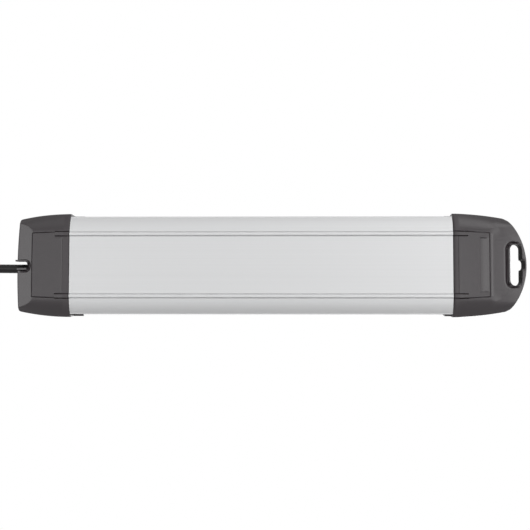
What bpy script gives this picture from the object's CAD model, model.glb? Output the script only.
import bpy
import bmesh
import numpy as np
from mathutils import Matrix, Vector


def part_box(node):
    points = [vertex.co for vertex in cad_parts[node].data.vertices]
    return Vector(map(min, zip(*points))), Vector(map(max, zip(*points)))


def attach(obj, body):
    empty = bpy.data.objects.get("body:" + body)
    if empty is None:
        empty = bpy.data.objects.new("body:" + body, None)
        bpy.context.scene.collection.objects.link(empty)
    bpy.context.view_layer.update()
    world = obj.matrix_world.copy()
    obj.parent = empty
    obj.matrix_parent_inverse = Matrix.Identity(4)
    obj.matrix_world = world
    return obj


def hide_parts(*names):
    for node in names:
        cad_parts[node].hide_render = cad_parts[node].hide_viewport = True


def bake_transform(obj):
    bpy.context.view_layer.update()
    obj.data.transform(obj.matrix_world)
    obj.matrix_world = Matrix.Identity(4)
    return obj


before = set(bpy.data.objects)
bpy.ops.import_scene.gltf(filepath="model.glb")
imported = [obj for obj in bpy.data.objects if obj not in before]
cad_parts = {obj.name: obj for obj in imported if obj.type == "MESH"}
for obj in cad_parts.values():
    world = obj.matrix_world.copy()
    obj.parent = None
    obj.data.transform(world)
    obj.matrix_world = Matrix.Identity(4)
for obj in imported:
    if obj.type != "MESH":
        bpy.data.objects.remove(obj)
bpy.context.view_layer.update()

# Camera. The strip is seen squarely from its back, so the camera hangs below the floor and looks up at it,
# with +X to the right and -Y at the top. Lengths in this file are millimetres until a mesh or lamp is made.
mm = 0.001
picture_px = 530
focal_px = 1172.8
camera_at = Vector((17.93, 62.85, -948.4))
camera_turns = (("Z", 0.077), ("X", -3.775), ("Y", 1.314))

aim = Matrix.Identity(3)
for axis, degrees in camera_turns:
    aim = aim @ Matrix.Rotation(np.radians(degrees), 3, axis)
right, down, forward = aim
scene = bpy.context.scene
camera = bpy.data.objects.new("camera", bpy.data.cameras.new("camera"))
camera.data.lens = camera.data.sensor_width * focal_px / picture_px
camera_axes = Matrix((right, -down, -forward)).transposed().to_4x4()
camera.matrix_world = Matrix.Translation(camera_at * mm) @ camera_axes
scene.collection.objects.link(camera)
scene.camera = camera
scene.view_settings.view_transform = "Standard"


# Mains cord. A round black sheath over three cores: it leaves the notch of the cable cap, comes down to the
# desk, and the rest of its length is put away in a coil of four layers. Its route repeats the solid's points.
noise_range = (0.3, 0.7)


def new_finish(name, colour, roughness, **sockets):
    """A finish whose plain values sit on the shader's own sockets; socket names have _ for spaces."""
    finish = bpy.data.materials.new(name)
    finish.use_nodes = True
    shader = finish.node_tree.nodes["Principled BSDF"]
    shader.inputs["Base Color"].default_value = (*colour, 1)
    shader.inputs["Roughness"].default_value = roughness
    for socket, value in sockets.items():
        shader.inputs[socket.replace("_", " ")].default_value = value
    return finish


def grain(finish, cell, stretch=(1, 1, 1), detail=3):
    """Noise on Object coordinates with grains of cell millimetres, drawn out along the axes by stretch."""
    nodes, links = finish.node_tree.nodes, finish.node_tree.links
    place = nodes.new("ShaderNodeTexCoord")
    scaled = nodes.new("ShaderNodeMapping")
    noise = nodes.new("ShaderNodeTexNoise")
    scaled.inputs["Scale"].default_value = [1 / (cell * mm * along) for along in stretch]
    noise.inputs["Scale"].default_value = 1
    noise.inputs["Detail"].default_value = detail
    links.new(place.outputs["Object"], scaled.inputs["Vector"])
    links.new(scaled.outputs["Vector"], noise.inputs["Vector"])
    return noise.outputs["Fac"]


def spread(finish, factor, low, high):
    """Drives the roughness from low to high over the middle of the factor's range."""
    nodes, links = finish.node_tree.nodes, finish.node_tree.links
    ramp = nodes.new("ShaderNodeMapRange")
    ramp.inputs["From Min"].default_value, ramp.inputs["From Max"].default_value = noise_range
    ramp.inputs["To Min"].default_value = low
    ramp.inputs["To Max"].default_value = high
    links.new(factor, ramp.inputs["Value"])
    links.new(ramp.outputs["Result"], nodes["Principled BSDF"].inputs["Roughness"])


def tint(finish, factor, dark, light):
    """Drives the colour from dark to light over the middle of the factor's range."""
    nodes, links = finish.node_tree.nodes, finish.node_tree.links
    ramp = nodes.new("ShaderNodeValToRGB")
    for stop, place, colour in zip(ramp.color_ramp.elements, noise_range, (dark, light)):
        stop.position = place
        stop.color = (*colour, 1)
    links.new(factor, ramp.inputs["Fac"])
    links.new(ramp.outputs["Color"], nodes["Principled BSDF"].inputs["Base Color"])


def dent(finish, factor, depth):
    """Bumps the surface by the factor, depth millimetres from its lowest to its highest value."""
    nodes, links = finish.node_tree.nodes, finish.node_tree.links
    bump = nodes.new("ShaderNodeBump")
    bump.inputs["Strength"].default_value = 1
    bump.inputs["Distance"].default_value = depth * mm
    links.new(factor, bump.inputs["Height"])
    links.new(bump.outputs["Normal"], nodes["Principled BSDF"].inputs["Normal"])


def speckle(finish, cell, roughness, patch, dark, light, depth=0, stretch=(1, 1, 1), detail=3):
    """Grains of cell millimetres take the roughness through its range and dent the surface by depth, and
    patches of patch millimetres take the colour from dark to light."""
    fine = grain(finish, cell, stretch, detail)
    spread(finish, fine, *roughness)
    tint(finish, grain(finish, patch), dark, light)
    if depth:
        dent(finish, fine, depth)


def ring_walls(count, sides):
    """Point numbers of count closed rings with sides points each, and the quads between the rings."""
    ids = np.arange(count * sides).reshape(count, sides)
    after = np.roll(ids, -1, axis=1)
    quads = np.stack([ids[:-1], after[:-1], after[1:], ids[1:]], axis=-1).reshape(-1, 4)
    return ids, quads.tolist()


def lofted(rings):
    """Points and faces of a stack of closed rings, rings[i, j] being point j of ring i, with a middle
    point closing each end."""
    count, sides = rings.shape[:2]
    ids, quads = ring_walls(count, sides)
    after = np.roll(ids, -1, axis=1)
    first = np.stack([np.full(sides, count * sides), after[0], ids[0]], axis=-1)
    last = np.stack([np.full(sides, count * sides + 1), ids[-1], after[-1]], axis=-1)
    points = np.concatenate([rings.reshape(-1, 3), rings[[0, -1]].mean(axis=1)])
    return points, [*quads, *first.tolist(), *last.tolist()]


def new_piece(name, points, faces, finish, crease=35):
    """An object at the origin from points in millimetres; edges sharper than crease degrees stay sharp."""
    mesh = bpy.data.meshes.new(name)
    mesh.from_pydata(points * mm, [], faces)
    mesh.shade_smooth()
    mesh.set_sharp_from_angle(angle=np.radians(crease))
    mesh.materials.append(finish)
    piece = bpy.data.objects.new(name, mesh)
    scene.collection.objects.link(piece)
    return piece


def resampled(path, step):
    """Points along a polyline, step millimetres apart, by straight interpolation over its length."""
    run = np.concatenate([[0], np.cumsum(np.linalg.norm(np.diff(path, axis=0), axis=1))])
    at = np.linspace(0, run[-1], int(round(run[-1] / step)) + 1)
    return np.stack([np.interp(at, run, axis) for axis in path.T], axis=-1)


def smoothed(path, window):
    """A running mean over window points, which rounds the path's corners and keeps its two ends."""
    half = window // 2
    long = np.concatenate([2 * path[0] - path[half:0:-1], path, 2 * path[-1] - path[-2:-half - 2:-1]])
    mean = np.ones(2 * half + 1) / (2 * half + 1)
    return np.stack([np.convolve(axis, mean, mode="valid") for axis in long.T], axis=-1)


def unit(vectors):
    """Vectors of length one."""
    return vectors / np.linalg.norm(vectors, axis=-1, keepdims=True)


def headings(path):
    """The unit direction of travel at each point of a path."""
    return unit(np.gradient(path, axis=0))


cord_d = 7.2
cord_y = 2.6
cord_step, cord_sides, cord_window = 2, 32, 6
cord_exit = np.array([-196, cord_y, 13])
coil_r = 42.6
coil_turns = 5.75
coil_points_per_turn = 48
coil_layers = 4
coil_z = 4.95
turn_step = cord_d + 0.6
layer_step = cord_d + 0.5
coil_x, coil_y = -276, cord_y - coil_r
lead_route = np.array([
    cord_exit, [-203.2, cord_y, 13], [-212, cord_y, 12.4], [-222, cord_y, 10.8], [-233, cord_y, 8.4],
    [-246, cord_y, 6], [-258, cord_y, coil_z], [coil_x + cord_d, cord_y, coil_z],
])
coil_top = coil_z + (coil_layers - 1) * layer_step
end_route = np.array([
    [coil_x + coil_r, coil_y + cord_d, coil_top], [coil_x + coil_r, coil_y + 2 * cord_d, coil_top],
    [-233.4, -15, 26], [-234, -5, 22.2], [-237, 7, 17], [-243.6, 16.8, 11.8], [-252, 23.6, 8.2],
    [-260.8, 27, 6.5], [-268, 27, 6.5],
])


def coil(turns):
    """A spiral that goes in and out by one turn's step per turn, layer upon layer, and climbs a layer in the
    half turn about each reversal."""
    per_layer = coil_turns / coil_layers
    swing = 1 - np.abs((turns / per_layer) % 2 - 1)
    r = coil_r - turn_step * per_layer * swing
    climb = np.clip((turns[:, None] - per_layer * np.arange(1, coil_layers)) * 2 + 0.5, 0, 1)
    level = (climb ** 2 * (3 - 2 * climb)).sum(axis=1)
    angle = np.pi / 2 + 2 * np.pi * turns
    return np.column_stack([
        coil_x + r * np.cos(angle), coil_y + r * np.sin(angle), coil_z + layer_step * level,
    ])


coil_route = coil(np.linspace(0, coil_turns, int(coil_turns * coil_points_per_turn) + 1))
cord_path = resampled(np.concatenate([lead_route, coil_route, end_route]), cord_step)
cord_path = smoothed(smoothed(cord_path, cord_window), cord_window)
cord_way = headings(cord_path)
around = np.linspace(0, 2 * np.pi, cord_sides, endpoint=False)
cord_side = unit(np.cross([0, 0, 1], cord_way))
cord_up = np.cross(cord_way, cord_side)
cord_rings = cord_path[:, None] + cord_d / 2 * (
    np.cos(around)[None, :, None] * cord_side[:, None] + np.sin(around)[None, :, None] * cord_up[:, None]
)
sheath = new_finish("cord_sheath", (0.008, 0.0076, 0.0078), 0.4, Specular_IOR_Level=0.18)
speckle(sheath, 0.35, (0.34, 0.46), 12, (0.0065, 0.0061, 0.0063), (0.0095, 0.0091, 0.0093), 0.02)
cord = new_piece("mains_cord", *lofted(cord_rings), sheath)
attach(cord, "strip")
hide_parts("cord_lead", "cord_coil", "cord_end")


# Cord tie. A woven hook-and-loop strap goes once tightly round the coil and laps over its own start on the
# top, where the hooks hold it. It is a flat band with soft edges.
def weave(finish, thread):
    """Crossing threads on Object coordinates: the higher of two waves of period thread millimetres."""
    nodes, links = finish.node_tree.nodes, finish.node_tree.links
    place = nodes.new("ShaderNodeTexCoord")
    higher = nodes.new("ShaderNodeMath")
    higher.operation = "MAXIMUM"
    for k, across in enumerate(("X", "DIAGONAL")):
        wave = nodes.new("ShaderNodeTexWave")
        wave.bands_direction = across
        wave.inputs["Scale"].default_value = np.pi / (10 * thread * mm)
        wave.inputs["Distortion"].default_value = 0.6
        links.new(place.outputs["Object"], wave.inputs["Vector"])
        links.new(wave.outputs["Fac"], higher.inputs[k])
    return higher.outputs["Value"]


def flattened(wave):
    """A wave w drawn out to sign(w) |w|^0.22, which makes a flat band with soft edges of a round ring."""
    return np.sign(wave) * np.abs(wave) ** 0.22


tie_low, tie_high = np.array(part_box("cord_tie")) / mm
tie_x, tie_w = (tie_low + tie_high)[0] / 2, (tie_high - tie_low)[0]
tie_t, tie_gap = 1, 0.1
tie_lap, lap_rise = 8, 1.1 * tie_t
tie_step, tie_window = 0.5, 6
held = cord_path[(np.abs(cord_path[:, 0] - tie_x) < tie_w / 2) & (cord_path[:, 1] < coil_y), 1:]
turn = np.pi / 2 + np.linspace(0, 2 * np.pi, 241)
outward = np.column_stack([np.cos(turn), np.sin(turn)])
loop = held[(outward @ held.T).argmax(axis=1)] + outward * (cord_d / 2 + tie_t / 2 + tie_gap)
loop = resampled(loop, tie_step)
lap_count = int(tie_lap / tie_step)
loop = np.concatenate([loop, loop[1:lap_count]])
tie_path = smoothed(np.column_stack([np.full(len(loop), tie_x), loop]), tie_window)
tie_out = np.cross(headings(tie_path), [1, 0, 0])
over = np.clip((np.arange(len(tie_path)) - len(tie_path) + 2 * lap_count) / lap_count, 0, 1)
tie_path += tie_out * (over * lap_rise)[:, None]
tie_rings = (
    tie_path[:, None]
    + flattened(np.cos(around))[None, :, None] * [tie_w / 2, 0, 0]
    + flattened(np.sin(around))[None, :, None] * tie_out[:, None] * tie_t / 2
)
tie_finish = new_finish("tie_fabric", (0.02, 0.02, 0.021), 0.85, Sheen_Weight=0.35)
tie_threads = weave(tie_finish, 0.9)
tint(tie_finish, tie_threads, (0.008, 0.008, 0.009), (0.032, 0.032, 0.034))
dent(tie_finish, tie_threads, 0.12)
tie = new_piece("cord_strap", *lofted(tie_rings), tie_finish)
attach(tie, "strip")
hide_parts("cord_tie")


# Plug. A moulded plug of black rubber round two nickelled pins and two side contacts; a ribbed sleeve keeps
# the cord from bending sharply where it enters. The cord carries the plug and the tie along.
weld_gap, flat_angle, sharp_angle, bevel_angle = 0.002, 1, 30, 40


def softened(name, node, width, finish, segments=2):
    """A copy of a CAD node with its flat faces whole and its sharp edges rounded by width millimetres."""
    shape = bmesh.new()
    shape.from_mesh(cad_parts[node].data)
    bmesh.ops.remove_doubles(shape, verts=shape.verts, dist=weld_gap * mm)
    bmesh.ops.dissolve_limit(shape, angle_limit=np.radians(flat_angle), verts=shape.verts, edges=shape.edges)
    mesh = bpy.data.meshes.new(name)
    shape.to_mesh(mesh)
    shape.free()
    mesh.shade_smooth()
    mesh.set_sharp_from_angle(angle=np.radians(sharp_angle))
    mesh.materials.clear()
    mesh.materials.append(finish)
    piece = bpy.data.objects.new(name, mesh)
    scene.collection.objects.link(piece)
    edges = piece.modifiers.new("edges", "BEVEL")
    edges.width = width * mm
    edges.segments = segments
    edges.limit_method = "ANGLE"
    edges.angle_limit = np.radians(bevel_angle)
    flats = piece.modifiers.new("flats", "WEIGHTED_NORMAL")
    flats.keep_sharp = True
    flats.weight = 100
    return piece


rubber = new_finish("plug_rubber", (0.026, 0.026, 0.027), 0.5, Specular_IOR_Level=0.4)
speckle(rubber, 0.5, (0.42, 0.6), 9, (0.022, 0.022, 0.023), (0.03, 0.03, 0.031), 0.03)
nickel = new_finish("nickel", (0.66, 0.65, 0.62), 0.25, Metallic=1)
speckle(nickel, 0.4, (0.18, 0.34), 4, (0.6, 0.585, 0.55), (0.7, 0.69, 0.66), 0.004, stretch=(1, 1, 6))
for node, width, finish, slot in (
    ("plug_body", 1.2, rubber, "plug_rubber"),
    ("plug_pins", 0.9, nickel, "nickel"),
    ("plug_earth_contacts", 0.15, nickel, "nickel"),
):
    part = softened(node.replace("plug", "moulded_plug"), node, width, finish, 3)
    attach(part, "strip")
    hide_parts(node)

sleeve_low, sleeve_high = np.array(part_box("plug_relief")) / mm
sleeve_mid = (sleeve_low + sleeve_high)[1:] / 2
sleeve_r0 = (sleeve_high - sleeve_low)[2] / 2
sleeve_r1 = 4.5
sleeve_ribs, rib_deep = 7, 0.7
ribbed_from, ribbed_to = 0.04, 0.97
along = np.linspace(0, 1, 141)
sleeve_r = sleeve_r0 + (sleeve_r1 - sleeve_r0) * along
groove = np.clip(1.6 * np.cos(2 * np.pi * sleeve_ribs * along) - 0.4, 0, 1)
sleeve_r -= rib_deep * groove * (along > ribbed_from) * (along < ribbed_to)
sleeve_rings = np.stack(np.broadcast_arrays(
    (sleeve_low[0] + (sleeve_high - sleeve_low)[0] * along)[:, None],
    sleeve_mid[0] + sleeve_r[:, None] * np.cos(around),
    sleeve_mid[1] + sleeve_r[:, None] * np.sin(around),
), axis=-1)
sleeve = new_piece("plug_sleeve", *lofted(sleeve_rings), rubber)
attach(sleeve, "strip")
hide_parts("plug_relief")

# Channel. An aluminium profile, extruded in one length, cut square, satin anodised: a trough with two fine
# rails on its back, bulging flanks, lips that hold the outlets, and a screw port in each corner.
channel_low, channel_high = np.array(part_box("alu_profile")) / mm
back_z = 1
wall = 2
rail_in, rail_out = 23.9, 26.7
rail_groove = 0.55
wide_y, wide_z = 40, 7
shoulder_y, shoulder_r = 36.5, 3
lip_y, lip_t = 29.5, 2
port_y, port_z, port_r, port_hole_r, port_web = 30, 20, 3.2, 1.65, 2
front_z = channel_high[2]


def arc(centre, radius, start, stop, count):
    """Points of an arc in a plane, from one angle to another, in degrees."""
    angle = np.radians(np.linspace(start, stop, count))
    return np.column_stack([centre[0] + radius * np.cos(angle), centre[1] + radius * np.sin(angle)])


def bulge(a, b, height, count):
    """A parabola from a to b that stands off the straight line by height at its middle."""
    t = np.linspace(0, 1, count)[:, None]
    a, b = np.array(a, float), np.array(b, float)
    off = unit(np.array([b[1] - a[1], a[0] - b[0]]))
    return a + (b - a) * t + off * (4 * height * t * (1 - t))


lean = (wide_y - shoulder_y) / (front_z - wide_z)
lip_z = front_z - lip_t
wall_top = shoulder_y + lean * lip_t - wall
half_section = np.concatenate([
    [[0, back_z], [rail_in - 0.7, back_z]],
    [[rail_in - 0.2, back_z + rail_groove], [rail_in + 0.05, back_z - 0.1]],
    [[rail_in + 0.2, 0.25], [rail_in + 0.32, 0.08], [rail_in + 0.55, 0]],
    [[rail_out - 0.55, 0], [rail_out - 0.32, 0.08], [rail_out - 0.2, 0.25]],
    [[rail_out - 0.05, back_z - 0.1], [rail_out + 0.2, back_z + rail_groove]],
    bulge([rail_out + 0.7, back_z + 0.1], [wide_y - 0.9, wide_z - 0.7], 1, 24),
    arc([wide_y - 1.15, wide_z + 0.25], 1.15, -50, 4, 7),
    arc([shoulder_y - shoulder_r - 0.3, front_z - shoulder_r], shoulder_r + 0.1, 5, 90, 12),
    [[lip_y + 0.25, front_z], [lip_y, front_z - 0.25], [lip_y, lip_z], [wall_top, lip_z]],
    [[wide_y - 2.4, wide_z + 1.2], [port_y + port_web / 2, back_z + wall + 2.2]],
    arc([port_y, port_z], port_r, -72, 62, 12),
    arc([port_y, port_z], port_hole_r, 55, -235, 18),
    arc([port_y, port_z], port_r, 118, 252, 12),
    [[port_y - port_web / 2, back_z + wall + 1.5], [rail_out - 0.8, back_z + wall], [0, back_z + wall]],
])
other_half = half_section[-2:0:-1] * [-1, 1]
section = np.concatenate([half_section, other_half])
channel_x = np.linspace(channel_low[0], channel_high[0], 5)
channel_rings = np.empty((len(channel_x), len(section), 3))
channel_rings[..., 0] = channel_x[:, None]
channel_rings[..., 1:] = section
ids, channel_walls = ring_walls(len(channel_x), len(section))
channel_faces = [*channel_walls, ids[0][::-1].tolist(), ids[-1].tolist()]

anodised = new_finish("anodised_aluminium", (0.547, 0.55, 0.555), 0.6, Metallic=0.2, Specular_IOR_Level=0.2)
streaks = grain(anodised, 0.16, (900, 1, 1), 2)
spread(anodised, streaks, 0.55, 0.64)
tint(anodised, grain(anodised, 0.6, (700, 1, 1), 4), (0.537, 0.54, 0.545), (0.557, 0.56, 0.565))
dent(anodised, streaks, 0.003)
channel = new_piece("extruded_channel", channel_rings.reshape(-1, 3), channel_faces, anodised, 28)
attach(channel, "strip")
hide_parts("alu_profile")


# Cable cap. A moulded end cap of dark grey plastic with a raised panel on its back and a bevel round it. Its
# end wall has two screw pits and a notch for the cord, with a lip round it, and a thin skirt slides over the
# end of the channel.
def ladder(*rungs):
    """Cell walls from rung to rung, each rung being a place and the widest step from there to the next."""
    spans = zip(rungs, rungs[1:])
    parts = [np.linspace(a, b, int(np.ceil((b - a) / step)), endpoint=False) for (a, step), (b, _) in spans]
    return np.concatenate([*parts, [rungs[-1][0]]])


def merged(*rows):
    """Several rows of cell walls as one rising row, with each place once."""
    return np.unique(np.round(np.concatenate(rows), 4))


def skin_of_cells(xs, ys, zs, filled):
    """Points and outward quads of the skin between filled and empty cells of a lattice."""
    padded = np.pad(filled.astype(np.int8), 1)
    ids = np.arange(len(xs) * len(ys) * len(zs)).reshape(len(xs), len(ys), len(zs))
    quads = []
    for a in range(3):
        order = (a, (a + 1) % 3, (a + 2) % 3)
        step = np.diff(padded, axis=a).transpose(order)[:, 1:-1, 1:-1]
        grid = ids.transpose(order)
        corners = np.stack([grid[:, :-1, :-1], grid[:, 1:, :-1], grid[:, 1:, 1:], grid[:, :-1, 1:]], axis=-1)
        quads += [corners[step < 0], corners[step > 0][:, ::-1]]
    used, quads = np.unique(np.concatenate(quads), return_inverse=True)
    points = np.stack(np.meshgrid(xs, ys, zs, indexing="ij"), axis=-1).reshape(-1, 3)[used]
    return points, quads.reshape(-1, 4)


def rounding(p, q, r):
    """Moves points near the edge of two faces so that the square corner becomes an arc of radius r; p and q
    are the distances from the faces."""
    a, b = np.clip(1 - p / r, 0, 1), np.clip(1 - q / r, 0, 1)
    stretch = np.maximum(a, b) / np.maximum(np.hypot(a, b), 1e-9)
    near = (p < r) & (q < r) & (p > -1e-6) & (q > -1e-6)
    return np.where(near, r - r * a * stretch, p), np.where(near, r - r * b * stretch, q)


def ease(t):
    """A smooth step from 0 to 1."""
    t = np.clip(t, 0, 1)
    return t * t * (3 - 2 * t)


def larger(a, b, blend):
    """The larger of two heights, with the crease between them rounded over about blend millimetres."""
    return (a + b + np.sqrt((a - b) ** 2 + blend ** 2)) / 2


def lip(d, r):
    """Depth of a rounded edge of radius r at the distance d from the edge."""
    away = np.clip(1 - d / r, 0, 1)
    return r * (1 - np.sqrt(1 - away ** 2))


def past_corner(a, b, r):
    """How far a place lies outside a corner of radius r, from the distances a and b past the corner's two
    faces, and which share of the way out from the corner's centre goes along a."""
    a, b = np.maximum(a + r, 0), np.maximum(b + r, 0)
    far = np.hypot(a, b)
    return far - r, a / np.maximum(far, 1e-9)


def ridge(d, width):
    """A bell curve of height 1 at the distance d from its middle, exp(-(d / width)^2)."""
    return np.exp(-(d / width) ** 2)


def mid(walls):
    """The middles of the cells between walls."""
    return (walls[1:] + walls[:-1]) / 2


hair = 0.01
cap_half, cap_wide, cap_top_half, cap_h = 42, 42.3, 38.5, 46
cap_back, cap_wide_z, cap_lean_h = 0.8, 7.6, 29
flank_bulge, crease_w, blend_z = 5.4, 0.25, 12
pocket_half, pocket_h = 40.15, 44.15
edge_r, end_side_r, foot_side_r, foot_end_r = 5, 1.6, 1.2, 1
panel_half, panel_rise, panel_edge, panel_reach = 26.4, 0.5, 0.4, 2.4
panel_groove, groove_at, groove_w = 0.34, 0.35, 0.2
across_groove, line_w, line_in, line_out = 0.3, 0.22, 0.4, 0.6
rail_face, rail_edge = 0.02, 0.3
pit_y, pit_z, pit_r, pit_boss, pit_fade, pit_lip = 30, 20, 3.6, 5, 3, 0.5
inner_half, inner_low, inner_high = 33, 3, 42
skirt_edge, skirt_rise, skirt_top, skirt_fade = 4.36, 8.3, 30, 20.8
cut_top, cut_fade = 40, 22
still_z, still_half = (8, 14), (28, 34)
rim_l = 4.9


def off_pit(y, z):
    """Distance from the middle of the nearer screw pit, by squares about it."""
    return np.maximum(np.abs(np.abs(y) - pit_y), np.abs(z - pit_z))


def in_hollow(y, z):
    """Whether a cell lies in a cap's hollow, which leaves a boss round each screw."""
    return (np.abs(y) < inner_half) & (z > inner_low) & (z < inner_high) & (off_pit(y, z) > pit_boss)


def in_skirt(y, z):
    """Whether a cell lies in a skirt, which goes over the channel's sides and front."""
    return (np.abs(y) > pocket_half) & (z > skirt_edge) | (z > pocket_h)


def round_pits(y, z):
    """Turns the square screw pits round: squares about a pit become circles, and less so beyond the boss."""
    dy, dz, square = np.abs(y) - pit_y, z - pit_z, off_pit(y, z)
    share = np.clip((pit_boss + pit_fade - square) / pit_fade, 0, 1)
    share = share * (square / np.maximum(np.hypot(dy, dz), 1e-9) - 1)
    return y + np.sign(y) * dy * share, z + dz * share


def flank(y):
    """Height of a cap's back across its width: flat between the rails, then rising in a bulge to the side."""
    s = np.clip((np.abs(y) - rail_out) / (cap_half - rail_out), 0, 1)
    return cap_back + (cap_wide_z - cap_back) * s - flank_bulge * s * (1 - s)


def tapered(y, z, edge_half):
    """Moves the walls near the panel's straight edge, on the back alone, so that it lies at edge_half."""
    shift = (edge_half - panel_half) * np.clip(1 - np.abs(np.abs(y) - panel_half) / panel_reach, 0, 1)
    return y + np.sign(y) * shift * (z < blend_z)


def panelled(back, outside, rise):
    """A back with a panel that stands out by rise, and a groove round it; outside is the distance past the
    panel's edge."""
    raised = back - rise * ease(0.5 - outside / panel_edge)
    return raised + panel_groove * ridge(outside - groove_at, groove_w)


def crossed(back, along, y):
    """A back with a fine groove across the panel, between the rails; along is the distance from it."""
    return back + across_groove * ridge(along, line_w) * (np.abs(y) < rail_in)


def railed(back, y, has_rail, over):
    """A back with the channel's two rails going on where has_rail is set, over millimetres wider at the
    outside, and a narrow groove on each side of them."""
    away = np.abs(y)
    on_rail = ease((away - rail_in + rail_edge / 2) / rail_edge) * ease((rail_out + over - away) / rail_edge)
    lines = ridge(away - rail_in + line_in, line_w) + ridge(away - rail_out - line_out, line_w)
    on_rail, lines = has_rail * on_rail, has_rail * lines
    return (back + rail_groove * lines) * (1 - on_rail) + rail_face * on_rail


def skirt_lift(past, ramp, z):
    """How far a skirt's edges lie above the cap's back at the distance past the seam."""
    return skirt_rise * ease(past / ramp) * np.clip((skirt_top - z) / skirt_fade, 0, 1) * (past > 0)


def cut_back(past, share, z):
    """The distance past the seam, shortened on a skirt by up to share of it on the side of the back."""
    return np.where(past > 0, past * (1 - share * np.clip((cut_top - z) / cut_fade, 0, 1)), past)


def leaned(y, z, reach):
    """Moves the sides of a cap in to their lean over the height and to the plan's half width, reach. The
    walls behind go along, from a line that lies further in on the back than higher up."""
    side = np.minimum(reach, cap_wide - (cap_wide - cap_top_half) * ease((z - cap_wide_z) / cap_lean_h))
    still = np.interp(z, still_z, still_half)
    return y + np.sign(y) * (side - cap_half) * np.clip((np.abs(y) - still) / (pocket_half - still), 0, 1)


seam_x, cap_end_x, skirt_x = -163.5, -206, -151.5
skirt_ramp, skirt_cut, seam_foot_r = 2.5, 0.2, 1.6
cap_side_r = 195
panel_x0, panel_x1, panel_taper = -193.6, -169.2, 0.65
panel_flare, flare_from, flare_l = 0.25, 5, 4
bevel_rise = 4.2
end_bulge, end_out, end_mid_y, end_half = 1.5, 0.8, 4, 38
bulge_x, bulge_l = -190, 16
rail_start_x, rail_over = -175.5, 0.35
notch_x, notch_mouth_x, notch_y0, notch_y1, notch_r = -195.9, -197.3, -3, 4.6, 3.4
notch_ring_at, notch_ring_w, notch_ring_deep = 0.7, 0.5, 0.9
ring_end_more, ring_end_deeper = 0.4, 1
notch_ring_from, notch_ring_fade = 1, 3
bay_y0, bay_y1, bay_z0, bay_z1 = -6.4, 7.2, 8.4, 40
pit_end_x = -169.5
rim_x0, rim_x1, rim_y0, rim_y1, rim_z0, rim_z1 = -208, -197.2, -4.2, -3, 3.2, 8.4
limb_x0, limb_x1, limb_y0, limb_y1, limb_z0 = -207.3, -198.9, 2.5, 3.8, 0.9
link_x1, link_z0 = -195, 6


def bevel(x):
    """Height of the bevel at the cable cap's end over its back."""
    return bevel_rise * np.clip((panel_x0 - x) / (panel_x0 - cap_end_x), 0, 1)


cap_xs = merged(
    ladder((cap_end_x, 0.4), (-203, 0.5), (notch_mouth_x, 0.35), (notch_x, 0.3), (-194.8, 0.2), (-192.8, 2.5),
           (-176.1, 0.2), (-174.9, 1.2), (-170, 0.2), (-168.5, 0.8), (-165.2, 0.3), (seam_x, 0.3),
           (seam_x + skirt_ramp, 2.5), (skirt_x, 0)),
    [panel_x0, panel_x1],
)
half_ys = ladder((7.2, 2.6), (22.9, 0.3), (24.5, 0.6), (25.2, 0.2), (27.6, 0.7), (pit_y + pit_boss, 0.8),
                 (38.5, 0.4), (pocket_half, 0.37), (cap_half, 0))
pit_ys = pit_y + ladder((-pit_boss, 0.7), (-pit_r, 0.9), (pit_r, 0.7), (pit_boss, 0))
half_ys = merged(half_ys, pit_ys, [inner_half])
notch_ys = ladder((bay_y0, 0.7), (notch_y0 - 1.8, 0.3), (notch_y0, 0.45), (notch_y1, 0.3),
                  (notch_y1 + 1.8, 0.4), (7, 0))
cap_ys = merged(-half_ys, notch_ys, half_ys)
cap_zs = merged(
    ladder((0, 0.2), (1.8, 0.65), (skirt_edge, 1.3), (bay_z0, 1.6), (blend_z, 1.5), (pit_z - pit_boss, 0.7),
           (pit_z - pit_r, 0.9), (pit_z + pit_r, 0.7), (pit_z + pit_boss, 2.6), (bay_z1, 0.5),
           (pocket_h, 0.37), (cap_h, 0)),
    [inner_low, inner_high],
)
x, y, z = np.meshgrid(mid(cap_xs), mid(cap_ys), mid(cap_zs), indexing="ij")
hollow = (x > panel_x0) & in_hollow(y, z)
pits = (x < pit_end_x) & (off_pit(y, z) < pit_r)
notch = (x < np.where(z < bay_z0, notch_mouth_x, notch_x)) & (y > notch_y0) & (y < notch_y1)
bay = (x < notch_x) & (y > bay_y0) & (y < bay_y1) & (z > bay_z0) & (z < bay_z1)
solid = (x < seam_x) & ~hollow & ~pits & ~notch & ~bay | (x > seam_x) & in_skirt(y, z)
cap_points, cap_faces = skin_of_cells(cap_xs, cap_ys, cap_zs, solid)
x, y, z = cap_points[cap_faces].mean(axis=1).T
in_notch = (x > cap_end_x) & (x < notch_x + hair) & (y > bay_y0 - hair) & (y < bay_y1 + hair)
cap_inside = in_notch & (z > 0) & (z < cap_h)
cap_rim_faces = (x > seam_x - rim_l) & (x < seam_x)
x, y, z = cap_points.T

notch_end = np.where(z < bay_z0 + hair, notch_mouth_x, notch_x)
p, q = rounding(notch_end - x, y - notch_y0, notch_r)
x, y = notch_end - p, notch_y0 + q
p, q = rounding(notch_end - x, notch_y1 - y, notch_r)
x, y = notch_end - p, notch_y1 - q
y, z = round_pits(y, z)
pit_away = np.hypot(np.abs(y) - pit_y, z - pit_z) - pit_r
x = np.where((x < cap_end_x + hair) & (pit_away > -hair), x + lip(pit_away, pit_lip), x)
p, q = rounding(cap_half - np.abs(y), cap_h - z, edge_r)
y, z = np.sign(y) * (cap_half - p), cap_h - q
p, q = rounding(x - cap_end_x, cap_half - np.abs(y), end_side_r)
x, y = cap_end_x + p, np.sign(y) * (cap_half - q)
p, q = rounding(x - cap_end_x, cap_h - z, edge_r)
x, z = cap_end_x + p, cap_h - q
p, q = rounding(z, cap_half - np.abs(y), foot_side_r)
z, y = p, np.sign(y) * (cap_half - q)
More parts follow.
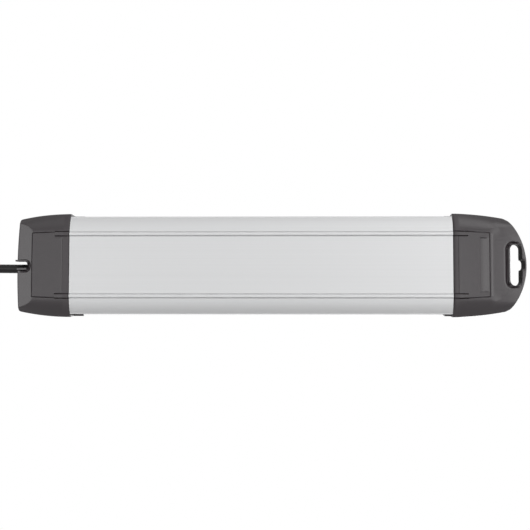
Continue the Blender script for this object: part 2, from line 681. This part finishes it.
p, q = rounding(z, x - cap_end_x, foot_end_r)
z, x = p, cap_end_x + q
p, q = rounding(z, seam_x - x, seam_foot_r)
z, x = p, seam_x - q

edge_half = np.interp(x, [panel_x0, seam_x], [panel_half - panel_taper, panel_half + panel_taper])
y = tapered(y, z, edge_half)
notch_mid, notch_half = (notch_y0 + notch_y1) / 2, (notch_y1 - notch_y0) / 2
outside_notch, endward = past_corner(x - notch_mouth_x, np.abs(y - notch_mid) - notch_half, notch_r)
ring_more = ring_end_more * endward
notch_ring = ridge(outside_notch - notch_ring_at - ring_more, notch_ring_w + ring_more)
notch_ring = notch_ring * (notch_ring_deep + ring_end_deeper * endward)
notch_ring = notch_ring * ease((x - cap_end_x - notch_ring_from) / notch_ring_fade)
flare = panel_flare * ease((x - seam_x + flare_from) / flare_l)
back = larger(flank(y), cap_back + bevel(x), crease_w) + notch_ring
back = panelled(back, np.maximum(np.abs(y) - edge_half, panel_x0 - x), panel_rise + flare)
back = crossed(back, x - panel_x1, y)
back = railed(back, y, x > rail_start_x, rail_over)
z = z + back * np.clip(1 - z / blend_z, 0, 1)
z = z + skirt_lift(x - seam_x, skirt_ramp, z)
plan = cap_wide - np.where(x < seam_x, cap_side_r - np.sqrt(cap_side_r ** 2 - (x - seam_x) ** 2), 0)
y = leaned(y, z, plan)
bulged = end_bulge * ((y - end_mid_y) / end_half) ** 2 - end_out
x = x + bulged * np.clip((bulge_x - x) / bulge_l, 0, 1)
x = seam_x + cut_back(x - seam_x, skirt_cut, z)
cap_points = np.column_stack([x, y, z])

# The lip's upper rim, its lower limb, whose underside keeps to the bevel, and the limb's link to the cap
lip_boxes = (
    (False, (rim_x0, rim_x1), (rim_y0, rim_y1), (rim_z0, rim_z1)),
    (False, (limb_x0, limb_x1), (limb_y0, limb_y1), (limb_z0, rim_z1)),
    (True, (limb_x1, link_x1), (limb_y0, limb_y1), (link_z0, rim_z1)),
)
for dark, *box_walls in lip_boxes:
    points, faces = skin_of_cells(*map(np.array, box_walls), np.ones((1, 1, 1)))
    points[:, 2] += bevel(points[:, 0]) * (points[:, 2] == limb_z0)
    cap_faces = np.concatenate([cap_faces, faces + len(cap_points)])
    cap_points = np.concatenate([cap_points, points])
    cap_inside = np.append(cap_inside, [dark] * len(faces))
    cap_rim_faces = np.append(cap_rim_faces, [False] * len(faces))

cap_colour, cap_dark, cap_light = (0.0135, 0.0096, 0.0116), (0.012, 0.0085, 0.0105), (0.015, 0.0107, 0.0127)
cap_cell, cap_patch = 0.35, 6
cap_plastic = new_finish("cap_plastic", cap_colour, 0.35, Specular_IOR_Level=0.5)
speckle(cap_plastic, cap_cell, (0.3, 0.4), cap_patch, cap_dark, cap_light, 0.018, detail=4)
cap_rim = new_finish("cap_rim", cap_colour, 0.55, Specular_IOR_Level=0.5)
speckle(cap_rim, cap_cell, (0.5, 0.6), cap_patch, cap_dark, cap_light, detail=4)
cap_recess = new_finish("cap_recess", (0.004, 0.004, 0.004), 0.7, Specular_IOR_Level=0.1)
speckle(cap_recess, cap_cell, (0.6, 0.8), cap_patch, (0.003, 0.003, 0.003), (0.005, 0.005, 0.005), detail=4)


def lined(piece, inside, rim):
    """Gives the faces marked as inside the dull finish of a mould's cores, and the rim's a matt one."""
    piece.data.materials.append(cap_recess)
    piece.data.materials.append(cap_rim)
    piece.data.polygons.foreach_set("material_index", (inside + 2 * rim).astype(np.int32))


cable_cap = new_piece("cable_cap", cap_points, cap_faces.tolist(), cap_plastic, 32)
lined(cable_cap, cap_inside, cap_rim_faces)
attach(cable_cap, "strip")
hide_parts("cable_end_cap")

# Hanger cap. The same moulding without the cord notch; beyond its end wall the back runs on as a tongue with
# a round tip, and a rounded slot in the tongue, widened by a nub in its outer side, hangs the strip on a
# screw.
hang_seam_x, hang_skirt_x, hang_wall_x, tip_x = 148.5, 141, 173, 208
hang_ramp, hang_cut, hang_foot_r = 0.6, 0.3, 2.6
hang_inner_x, hang_pit_x = 167, 154.5
hang_side_r, hang_curve_x, hang_side_out = 262, 142.5, 0.15
tip_r, tip_y, tip_corner_r = 55, 0.8, 2.2
tongue_h, tongue_back = 12.3, 2.4
tongue_x, tongue_crease_w, tongue_fade_x, tongue_fade_y = 178, 1.5, 10, 8
tongue_line_y, tongue_line_w, tongue_line_deep = 20.5, 0.3, 0.12
tongue_line_x1, line_fade_in, line_fade_out = 191, 2, 4
bend_ys, bend_x = (17, 34), 176
hang_panel_x0, hang_panel_x1, hang_taper0, hang_taper1 = 152.8, 177.8, 0.8, 0.75
dish_x0, dish_x1, dish_half, dish_edge, dish_deep = 170.2, 177.2, 21.8, 0.6, 0.7
bead_at, bead_w, bead_rise = 1.5, 0.35, 0.2
hang_rail_x, hang_rail_over = 160.5, 0.15
slot_x0, slot_x1, slot_half, slot_r, slot_lip = 194.8, 202.9, 16.8, 4, 0.9
nub_x, nub_half, nub_r, nub_foot_r, nub_from = 205.2, 4.4, 2.9, 1.4, 196.8
slot_ring, slot_ring_end, slot_ring_deep = 2.5, 0.9, 1.8
ring_in_w, ring_out_w, ring_side_more = 0.7, 0.55, 0.75
ring_stop, ring_fade = 0.5, 4
slot_draft, draft_x0, draft_reach = 1.9, 197.8, 4

hang_xs = merged(
    ladder((hang_skirt_x, 2.5), (hang_seam_x - hang_ramp, 0.2), (hang_seam_x, 0.35), (151.2, 0.6),
           (152.4, 0.2), (153.6, 1.4), (160.1, 0.2), (160.9, 1.8), (168, 0.9), (hang_wall_x, 0.6),
           (176.8, 0.2), (179.6, 1.3), (188, 0.4), (slot_x0, 0.5), (slot_x0 + slot_r, 0.2),
           (slot_x1 - slot_r, 0.5), (slot_x1, 0.4), (nub_x, 0.32), (tip_x, 0)),
    [hang_pit_x, hang_panel_x0, dish_x0 - 0.1, dish_x0 + 0.1, hang_panel_x1, 173.4],
)
half_ys = ladder((nub_half, 0.7), (6.4, 1.6), (slot_half - slot_r, 0.6), (slot_half, 0.4), (20.8, 0.6),
                 (22.9, 0.22), (24.2, 0.6), (26, 0.22), (28, 0.9), (pit_y + pit_boss, 0.9), (38.5, 0.5),
                 (pocket_half, 0.5), (cap_half, 0))
half_ys = merged(half_ys, pit_ys, [inner_half])
hang_ys = merged(-half_ys, ladder((-nub_half + 0.5, 0.55), (nub_half - 0.5, 0)), half_ys)
hang_zs = merged(
    ladder((0, 0.2), (1.8, 0.65), (skirt_edge, 1.5), (blend_z, 1.5), (pit_z - pit_boss, 0.7),
           (pit_z - pit_r, 0.9), (pit_z + pit_r, 0.7), (pit_z + pit_boss, 2.6), (40.5, 0.5),
           (pocket_h, 0.37), (cap_h, 0)),
    [inner_low, tongue_h, inner_high],
)
x, y, z = np.meshgrid(mid(hang_xs), mid(hang_ys), mid(hang_zs), indexing="ij")
hollow = (x < hang_inner_x) & in_hollow(y, z)
pits = (x > hang_pit_x) & (off_pit(y, z) < pit_r)
slot = (x > slot_x0) & ((np.abs(y) < slot_half) & (x < slot_x1) | (np.abs(y) < nub_half) & (x < nub_x))
solid = (x > hang_seam_x) & ((x < hang_wall_x) | (z < tongue_h)) & ~hollow & ~pits & ~slot
solid = solid | (x < hang_seam_x) & in_skirt(y, z)
hang_points, hang_faces = skin_of_cells(hang_xs, hang_ys, hang_zs, solid)
x, y, z = hang_points[hang_faces].mean(axis=1).T
in_slot = (x > slot_x0 - hair) & (x < nub_x + hair) & (np.abs(y) < slot_half + hair)
slot_inside = in_slot & (z > 0) & (z < tongue_h)
hang_rim_faces = (x > hang_seam_x) & (x < hang_seam_x + rim_l)
x, y, z = hang_points.T

for side in (-1, 1):
    for corner_x, way in ((slot_x0, 1), (slot_x1, -1)):
        p, q = rounding(way * (x - corner_x), slot_half - side * y, slot_r)
        x, y = corner_x + way * p, side * (slot_half - q)
    p, q = rounding(nub_x - x, nub_half - side * y, nub_r)
    x, y = nub_x - p, side * (nub_half - q)
    p, q = rounding(x - slot_x1, side * y - nub_half, nub_foot_r)
    x, y = slot_x1 + p, side * (nub_half + q)
y, z = round_pits(y, z)
pit_away = np.hypot(np.abs(y) - pit_y, z - pit_z) - pit_r
on_wall = (np.abs(x - hang_wall_x) < hair) & (z > tongue_h)
x = np.where(on_wall & (pit_away > -hair), x - lip(pit_away, pit_lip), x)
p, q = rounding(cap_half - np.abs(y), cap_h - z, edge_r)
y, z = np.sign(y) * (cap_half - p), cap_h - q
p, q = rounding(hang_wall_x - x, cap_h - z, edge_r)
x, z = hang_wall_x - p, cap_h - q
over_tongue = z > tongue_h + hair
p, q = rounding(np.where(over_tongue, hang_wall_x - x, -1), cap_half - np.abs(y), end_side_r)
x = np.where(over_tongue & (p >= 0), hang_wall_x - p, x)
y = np.where(over_tongue, np.sign(y) * (cap_half - q), y)
p, q = rounding(z, cap_half - np.abs(y), foot_side_r)
z, y = p, np.sign(y) * (cap_half - q)
p, q = rounding(z, tip_x - x, foot_end_r)
z, x = p, tip_x - q
p, q = rounding(z, x - hang_seam_x, hang_foot_r)
z, x = p, hang_seam_x + q

slot_mid, slot_side = (slot_x0 + slot_x1) / 2, (slot_x1 - slot_x0) / 2
outside_slot, sideways = past_corner(np.abs(x - slot_mid) - slot_side, np.abs(y) - slot_half, slot_r)
outside_nub, _ = past_corner(x - nub_x, np.abs(y) - nub_half, nub_r)
outside_slot = np.where(x < nub_from, outside_slot, np.minimum(outside_slot, outside_nub))
ring_at = slot_ring_end + (slot_ring - slot_ring_end) * sideways
ring_w = np.where(outside_slot < ring_at, ring_in_w, ring_out_w + ring_side_more * sideways)
ring = slot_ring_deep * ridge(outside_slot - ring_at, ring_w) * ease((slot_x1 - ring_stop - x) / ring_fade)
edge_half = panel_half + np.interp(x, [hang_panel_x0, hang_panel_x1], [hang_taper0, -hang_taper1])
y = tapered(y, z, edge_half)
slope = cap_back + tongue_back * np.clip((x - hang_panel_x1) / (tip_x - hang_panel_x1), 0, 1)
tongue_side = ease((x - tongue_x) / tongue_fade_x) * ease((np.abs(y) - tongue_line_y) / tongue_fade_y)
tongue_line = ridge(np.abs(y) - tongue_line_y, tongue_line_w)
tongue_line = tongue_line * ease((x - tongue_x) / line_fade_in) * ease((tongue_line_x1 - x) / line_fade_out)
dish = dish_deep * (1 - np.clip((x - dish_x0) / (dish_x1 - dish_x0), 0, 1) ** 2) * (x > dish_x0)
dish = dish * ease((dish_half - np.abs(y)) / dish_edge + 0.5)
bead = bead_rise * ridge(x - hang_panel_x1 - bead_at, bead_w) * (np.abs(y) < edge_half)
back = larger(flank(y), slope, crease_w + tongue_crease_w * tongue_side) + tongue_line_deep * tongue_line
back = panelled(back, np.maximum(np.abs(y) - edge_half, x - hang_panel_x1), panel_rise - dish)
back = crossed(back, x - hang_panel_x0, y) - bead
back = railed(back, y, x < hang_rail_x, hang_rail_over)
back = back + ring + lip(outside_slot, slot_lip) * (outside_slot > -2 * hair)
z = z + back * np.clip(1 - z / blend_z, 0, 1)
z = z + skirt_lift(hang_seam_x - x, hang_ramp, z)
draft = np.clip((x - draft_x0) / (slot_x1 - draft_x0), 0, 1) * np.clip((tip_x - x) / (tip_x - nub_x), 0, 1)
draft = draft * np.clip(1 - z / tongue_h, 0, 1) * ease((slot_half + draft_reach - np.abs(y)) / draft_reach)
x = x + slot_draft * draft
bend_from = np.interp(np.abs(y), bend_ys, (slot_x1, bend_x))
bend = np.clip((x - bend_from) / (tip_x - bend_from), 0, 1)
flat_x, flat_y = x, y
for _ in range(4):
    plan = np.sqrt(hang_side_r ** 2 - (x - hang_curve_x) ** 2) - hang_side_r + cap_wide + hang_side_out
    plan = np.where(x > hang_seam_x, np.minimum(plan, cap_wide), cap_wide)
    y = leaned(flat_y, z, plan)
    x = flat_x - (tip_r - np.sqrt(tip_r ** 2 - (y - tip_y) ** 2)) * bend

# The corner between the tip's arc and the plan's side: the two move along each other's normals
arc_x, arc_y = x - tip_x + tip_r, y - tip_y
arc_far = np.hypot(arc_x, arc_y)
p, q = rounding(tip_r - arc_far, plan - np.abs(y), tip_corner_r)
on_tongue = z < tongue_h + hair
move_p = np.where(on_tongue, p - tip_r + arc_far, 0)
move_q = np.where(on_tongue, q - plan + np.abs(y), 0)
across_x, across_y = -np.maximum(arc_x, 1) / arc_far, -arc_y / arc_far
move_x = (move_p + across_y * np.sign(y) * move_q) / across_x
x, y = x + np.where(move_p + move_q > 1e-6, move_x, 0), y - np.sign(y) * move_q
x = hang_seam_x - cut_back(hang_seam_x - x, hang_cut, z)
hang_points = np.column_stack([x, y, z])
hanger_cap = new_piece("hanger_cap", hang_points, hang_faces.tolist(), cap_plastic, 32)
lined(hanger_cap, slot_inside, hang_rim_faces)
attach(hanger_cap, "strip")
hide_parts("hanger_end_cap")

# Screws. Pan-head screws of zinc-plated steel hold the caps to the ports of the channel, and two smaller ones
# press the cord clamp on the cord.
zinc = new_finish("zinc_steel", (0.62, 0.63, 0.64), 0.3, Metallic=1)
speckle(zinc, 0.3, (0.24, 0.4), 2, (0.56, 0.57, 0.58), (0.66, 0.67, 0.68), 0.005)


def finished(nodes, width, finish, body="strip"):
    """Softened copies of CAD nodes that ride on one body and have one finish."""
    for node in nodes:
        part = softened("soft_" + node, node, width, finish)
        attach(part, body)
        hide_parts(node)


finished(("cable_cap_screws", "hanger_cap_screws", "clamp_screws"), 0.15, zinc)

# Outlets. Four modules of dark grey plastic, each with a round well, two pin holes, side openings for the
# earth contacts and two guide ribs.
module_plastic = new_finish("module_plastic", (0.05, 0.05, 0.052), 0.4, Specular_IOR_Level=0.4)
speckle(module_plastic, 0.4, (0.34, 0.48), 7, (0.047, 0.047, 0.049), (0.053, 0.053, 0.055), 0.012)
finished([f"socket_{k}" for k in range(1, 5)], 0.4, module_plastic)

# Shutters. A white disc under each well closes the pin holes until two pins turn it aside together; a curved
# strip of spring steel, held at a post of the outlet, bends before the disc's lug and turns it back.
outlet_xs = (-70.5, -9.5, 51.5, 112.5)
spring_r, spring_z, spring_post_at, spring_lug_at = 14.9, 24.8, np.radians(174.8), np.radians(104.2)
shutter_plastic = new_finish("shutter_plastic", (0.62, 0.6, 0.56), 0.42)
speckle(shutter_plastic, 0.5, (0.36, 0.5), 5, (0.6, 0.58, 0.54), (0.64, 0.62, 0.58), 0.008)
spring_steel = new_finish("spring_steel", (0.45, 0.45, 0.46), 0.25, Metallic=1)
speckle(spring_steel, 0.2, (0.2, 0.35), 2, (0.4, 0.4, 0.41), (0.5, 0.5, 0.51), 0.003)
for k, outlet_x in enumerate(outlet_xs, 1):
    finished([f"shutter_{k}"], 0.15, shutter_plastic, f"shutter_disc_{k}")
    spring = softened(f"soft_shutter_spring_{k}", f"shutter_spring_{k}", 0.1, spring_steel)
    held, pushed = (
        mm * np.array([outlet_x + spring_r * np.cos(angle), spring_r * np.sin(angle), spring_z])
        for angle in (spring_post_at, spring_lug_at)
    )
    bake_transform(spring)
    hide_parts(f"shutter_spring_{k}")

# Contacts. Three strips run the length of the outlets in an insulating tray with a deck over it: brass for
# the two poles, nickelled for the earth. The cord clamp is of the tray's plastic.
carrier_plastic = new_finish("carrier_plastic", (0.55, 0.52, 0.46), 0.5)
speckle(carrier_plastic, 0.5, (0.42, 0.58), 8, (0.52, 0.49, 0.43), (0.57, 0.54, 0.48), 0.01)
brass = new_finish("brass", (0.75, 0.56, 0.25), 0.28, Metallic=1)
speckle(brass, 0.4, (0.22, 0.38), 5, (0.7, 0.51, 0.22), (0.78, 0.6, 0.29), 0.004, stretch=(20, 1, 1))
finished(("contact_tray", "contact_deck", "cord_clamp"), 0.2, carrier_plastic)
finished(("live_rail", "neutral_rail"), 0.1, brass)
finished(("earth_rail",), 0.1, nickel)

# Switch. A two-pole rocker of translucent red plastic in a frame of the outlets' plastic; a small neon lamp
# under it shines through when the strip is on.
switch_plastic = new_finish("switch_plastic", (0.02, 0.02, 0.021), 0.4)
speckle(switch_plastic, 0.4, (0.34, 0.5), 6, (0.018, 0.018, 0.019), (0.023, 0.023, 0.024), 0.008)
rocker_plastic = new_finish("rocker_plastic", (0.45, 0.02, 0.015), 0.2, Transmission_Weight=0.2, IOR=1.5)
speckle(rocker_plastic, 0.4, (0.16, 0.26), 6, (0.43, 0.018, 0.013), (0.47, 0.022, 0.017), 0.005)
lamp_glass = new_finish("lamp_glass", (0.95, 0.6, 0.35), 0.15, Transmission_Weight=0.7, IOR=1.5)
speckle(lamp_glass, 0.5, (0.12, 0.22), 2, (0.93, 0.58, 0.33), (0.97, 0.62, 0.37))
finished(("switch_frame",), 0.4, module_plastic)
finished(("switch_body",), 0.3, switch_plastic)
finished(("switch_rocker",), 0.5, rocker_plastic, "rocker")
finished(("switch_terminals",), 0.1, brass)
finished(("switch_lamp",), 0.2, lamp_glass)

# Inner wires. Brown, blue and green-and-yellow insulation: the two poles go from the cord's cores to the
# switch and on to their strips, the earth straight to its own.
for slot, colour, nodes in (
    ("brown_wire", (0.09, 0.035, 0.015), ("live_lead", "switched_live_lead")),
    ("blue_wire", (0.015, 0.07, 0.3), ("neutral_lead", "switched_neutral_lead")),
    ("earth_wire", (0.35, 0.4, 0.02), ("earth_lead",)),
):
    insulation = new_finish(slot, colour, 0.4)
    dark, light = np.array(colour) * 0.92, np.array(colour) * 1.06
    speckle(insulation, 0.3, (0.32, 0.48), 3, dark, light, 0.006)
    finished(nodes, 0.05, insulation)

# Strain relief. A rubber sleeve holds the cord inside the cable cap, and the cord's end goes on through it to
# the clamp inside.
finished(("cord_relief",), 0.3, rubber)
finished(("cord_tail",), 0.1, sheath)

# Floor and light. The strip lies on the floor plane, which only its upper side shows; a white surround stands
# behind it. Soft lamps below, stronger on the right, light the back as in a studio; a lamp and a wide, even
# light above are for the front.
floor_half = 2
dim, bright = 0.18, 1

floor_mesh = bpy.data.meshes.new("floor")
floor_corners = floor_half * np.array([[-1, -1, 0], [1, -1, 0], [1, 1, 0], [-1, 1, 0]], float)
floor_mesh.from_pydata(floor_corners, [], [[0, 1, 2, 3]])
floor_finish = new_finish("floor", (0.8, 0.8, 0.8), 0.9)
floor_nodes, floor_links = floor_finish.node_tree.nodes, floor_finish.node_tree.links
side_seen = floor_nodes.new("ShaderNodeNewGeometry")
see_through = floor_nodes.new("ShaderNodeBsdfTransparent")
either = floor_nodes.new("ShaderNodeMixShader")
floor_links.new(side_seen.outputs["Backfacing"], either.inputs["Fac"])
floor_links.new(floor_nodes["Principled BSDF"].outputs["BSDF"], either.inputs[1])
floor_links.new(see_through.outputs["BSDF"], either.inputs[2])
floor_links.new(either.outputs["Shader"], floor_nodes["Material Output"].inputs["Surface"])
floor_mesh.materials.append(floor_finish)
floor = bpy.data.objects.new("floor", floor_mesh)
floor.visible_diffuse = floor.visible_glossy = floor.visible_transmission = floor.visible_shadow = False
scene.collection.objects.link(floor)

world = bpy.data.worlds.new("studio")
world.use_nodes = True
world.cycles.sampling_method = "NONE"
nodes, links = world.node_tree.nodes, world.node_tree.links
sight = nodes.new("ShaderNodeLightPath")
surround = nodes["Background"]
surround.inputs["Color"].default_value = (1, 1, 1, 1)
level = nodes.new("ShaderNodeMapRange")
level.inputs["To Min"].default_value = dim
level.inputs["To Max"].default_value = bright
seen = sight.outputs["Is Camera Ray"]
for ray in ("Is Glossy Ray", "Is Transmission Ray"):
    either_ray = nodes.new("ShaderNodeMath")
    either_ray.operation = "MAXIMUM"
    links.new(seen, either_ray.inputs[0])
    links.new(sight.outputs[ray], either_ray.inputs[1])
    seen = either_ray.outputs["Value"]
links.new(seen, level.inputs["Value"])
links.new(level.outputs["Result"], surround.inputs["Strength"])
scene.world = world


def hung(name, lamp, place):
    """Hangs a lamp at place, in metres, and turns it to the strip's middle."""
    holder = bpy.data.objects.new(name, lamp)
    holder.location = place
    holder.rotation_euler = (-Vector(place)).to_track_quat("-Z", "Y").to_euler()
    scene.collection.objects.link(holder)


def soft_lamp(name, place, size, power):
    """A square lamp of size metres with a power in watts."""
    lamp = bpy.data.lights.new(name, "AREA")
    lamp.size = size
    lamp.energy = power
    hung(name, lamp, place)


soft_lamp("below", (0, 0, -1.4), 0.6, 5.5)
soft_lamp("left_end", (-0.5, 0, -0.35), 0.4, 1.35)
soft_lamp("right_end", (0.5, 0, -0.35), 0.4, 1.6)
soft_lamp("right_back", (0.5, -0.4, -0.4), 0.4, 0.8)
soft_lamp("right_front", (0.5, 0.4, -0.4), 0.4, 0.18)
soft_lamp("back_left", (-0.3, -0.9, -0.6), 0.6, 0.84)
soft_lamp("back_right", (0.3, -0.9, -0.6), 0.6, 2.5)
soft_lamp("above_left", (-0.7, -0.6, 0.9), 0.7, 3)
sky = bpy.data.lights.new("above_all", "SUN")
sky.energy = 2.9
sky.angle = np.radians(50)
hung("above_all", sky, (0.45, 0.3, 1))
